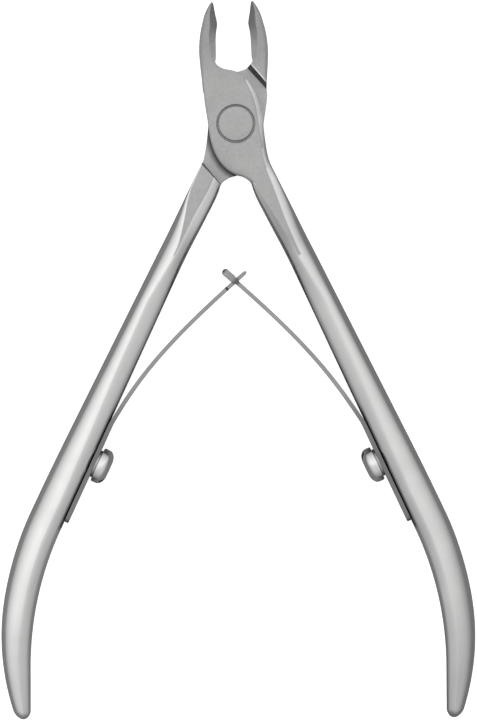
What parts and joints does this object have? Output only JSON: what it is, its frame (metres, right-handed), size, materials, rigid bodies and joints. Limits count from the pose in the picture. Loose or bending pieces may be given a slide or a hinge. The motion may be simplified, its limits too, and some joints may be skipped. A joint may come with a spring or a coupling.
{
  "type": "cuticle nipper",
  "caption": "Lap-joint cuticle nipper with two short tapering cutting jaws, long bowed handles, and crossed leaf springs that push the handles apart.",
  "frame": {"origin": "on the rivet's axis, in the plane that the tool lies on", "axes": "+Y from the rivet towards the jaw tips, +Z out of the front face, +X towards the handle of the front lever"},
  "size_m": [0.0758, 0.1147, 0.0058],
  "materials": {
    "lever_steel": "handles polished, joint faces satin",
    "rivet_steel": "satin, ground flush",
    "spring_steel": "satin",
    "screw_steel": "polished"
  },
  "bodies": {
    "front": {"front_lever": "lever_steel", "pivot_rivet": "rivet_steel", "right_spring_foot": "spring_steel", "right_spring_screw": "screw_steel", "right_screw_washer": "screw_steel"},
    "back": {"back_lever": "lever_steel", "left_spring_foot": "spring_steel", "left_spring_screw": "screw_steel", "left_screw_washer": "screw_steel"},
    "right_leaf": {"right_spring_arm": "spring_steel"},
    "left_leaf": {"left_spring_arm": "spring_steel"}
  },
  "joints": [
    {"name": "jaws", "type": "hinge", "parent": "front", "child": "back", "pos_m": [0, 0, 0.0029], "axis": [0, 0, 1], "range_deg": [0, 17.2], "stiffness_Nm_per_rad": 1},
    {"name": "right_leaf_bend", "type": "hinge", "parent": "front", "child": "right_leaf", "pos_m": [0.02013, -0.04772, 0.0029], "axis": [0, 0, 1], "range_deg": [-9, 0]},
    {"name": "left_leaf_bend", "type": "hinge", "parent": "back", "child": "left_leaf", "pos_m": [-0.02013, -0.04772, 0.0029], "axis": [0, 0, 1], "range_deg": [0, 9]}
  ],
  "couplings": [
    {"joint": "right_leaf_bend", "follows": "jaws", "ratio": -0.47},
    {"joint": "left_leaf_bend", "follows": "jaws", "ratio": 0.47}
  ]
}
